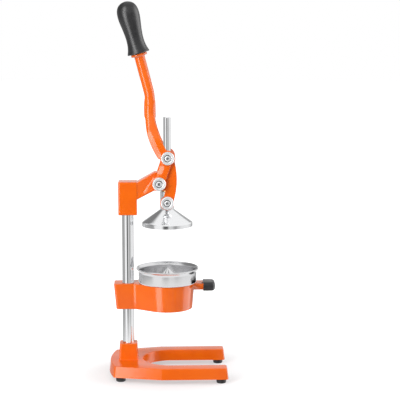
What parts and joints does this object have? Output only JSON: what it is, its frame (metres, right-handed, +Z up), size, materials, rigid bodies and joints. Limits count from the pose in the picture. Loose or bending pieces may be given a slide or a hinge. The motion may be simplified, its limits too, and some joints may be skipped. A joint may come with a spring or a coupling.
{
  "type": "lever citrus juice press",
  "caption": "Countertop lever press for citrus juice: forked base, column, ringed cup with reamer, and a conical bell driven down by a long lever through side links.",
  "frame": {"origin": "centre of the footprint's bounding box on the surface that the feet stand on, a fraction of a millimetre behind the press axis", "axes": "+X towards the open ends of the base legs, +Y to the right of someone who faces those ends from behind the column, +Z up"},
  "size_m": [0.222, 0.165, 0.6999],
  "materials": {
    "orange_paint": "gloss orange enamel on cast metal",
    "black_rubber": "satin black rubber",
    "chrome": "polished chrome plate",
    "stainless": "polished stainless sheet",
    "zinc": "zinc-plated steel",
    "bronze": "plain bronze"
  },
  "bodies": {
    "frame": {"base": "orange_paint", "foot_front_left": "black_rubber", "foot_front_right": "black_rubber", "foot_rear_left": "black_rubber", "foot_rear_right": "black_rubber", "foot_screws": "zinc", "column": "chrome", "column_bolt": "zinc", "column_washer": "zinc", "cup_holder": "orange_paint", "set_screws": "zinc", "bumper_cap": "black_rubber", "juice_funnel": "stainless", "strainer_cup": "stainless", "reamer": "stainless", "reamer_screw": "zinc", "bracket": "orange_paint", "guide_bush": "bronze"},
    "lever": {"lever": "orange_paint", "grip": "black_rubber", "main_pivot_bolts": "chrome", "main_pivot_washers": "chrome", "upper_pivot_bolts": "chrome", "upper_pivot_washers": "chrome"},
    "link": {"link_left": "orange_paint", "link_right": "orange_paint", "press_pivot_bolts": "chrome", "press_pivot_washers": "chrome"},
    "press": {"press_bell": "chrome", "press_neck": "chrome", "press_rod": "chrome", "bell_nut": "zinc"}
  },
  "joints": [
    {"name": "lever_pivot", "type": "hinge", "parent": "frame", "child": "lever", "pos_m": [-0.015, 0, 0.3668], "axis": [0, 1, 0], "range_deg": [0, 155]},
    {"name": "link_pivot", "type": "hinge", "parent": "lever", "child": "link", "pos_m": [0.001, 0, 0.4144], "axis": [0, 1, 0], "range_deg": [-162.2, 0]},
    {"name": "press_slide", "type": "slide", "parent": "frame", "child": "press", "axis": [0, 0, -1], "range_m": [0, 0.101]}
  ],
  "couplings": [
    {"joint": "link_pivot", "follows": "lever_pivot", "ratio": -1.0456},
    {"joint": "press_slide", "follows": "lever_pivot", "m_per_rad": 0.037331}
  ]
}
